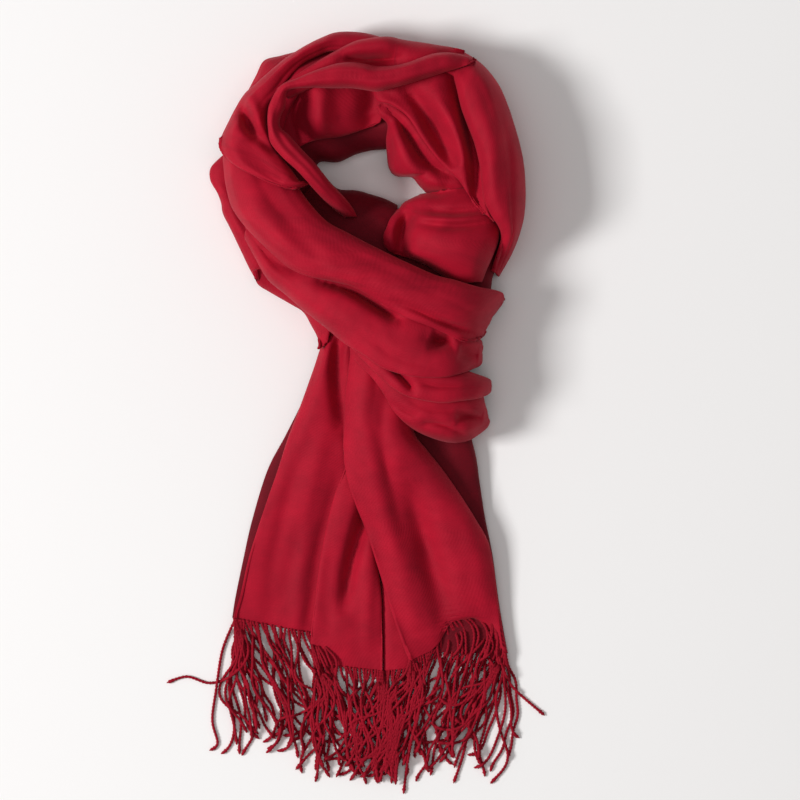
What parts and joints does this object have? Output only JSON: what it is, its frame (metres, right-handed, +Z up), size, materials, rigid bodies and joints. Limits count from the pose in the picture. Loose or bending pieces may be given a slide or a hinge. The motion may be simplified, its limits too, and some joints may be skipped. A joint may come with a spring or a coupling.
{
  "type": "knotted scarf",
  "caption": "Soft fringed scarf, doubled and pulled through its own loop, lying flat as a neck ring with a broad knot and two tails.",
  "frame": {"origin": "centre of the part's box, on the table under the scarf", "axes": "+Z up out of the table, +Y from the tails to the neck ring, +X to the right as one looks down on the scarf"},
  "size_m": [0.299, 0.5984, 0.097],
  "materials": {
    "twill": "soft brushed twill",
    "hidden_layers": "soft brushed twill in shade",
    "fringe_yarn": "two-ply twisted yarn"
  },
  "bodies": {
    "root": {"tail_under_left": "twill", "tail_under_right": "twill", "tail_front_left": "twill", "tail_narrow": "twill", "tail_middle": "twill", "tail_front_right": "twill", "back_edge_upper": "twill", "back_edge_lower": "twill", "ring_inner_left": "twill", "ring_inner_lower": "twill", "ring_inner_wall": "twill", "upper_left_flap": "twill", "upper_left_gusset": "twill", "ring_inner_right": "twill", "ring_pillow": "twill", "ring_right_throat": "twill", "ring_right_band": "twill", "knot_band_lowest": "twill", "knot_band_lower": "twill", "knot_band_middle": "twill", "knot_band_front": "twill", "shoulder_band": "twill", "top_band": "twill", "roll_band": "twill", "ring_core": "hidden_layers", "tail_core": "hidden_layers", "fringe_left": "fringe_yarn", "fringe_middle": "fringe_yarn", "fringe_right": "fringe_yarn"}
  },
  "joints": []
}
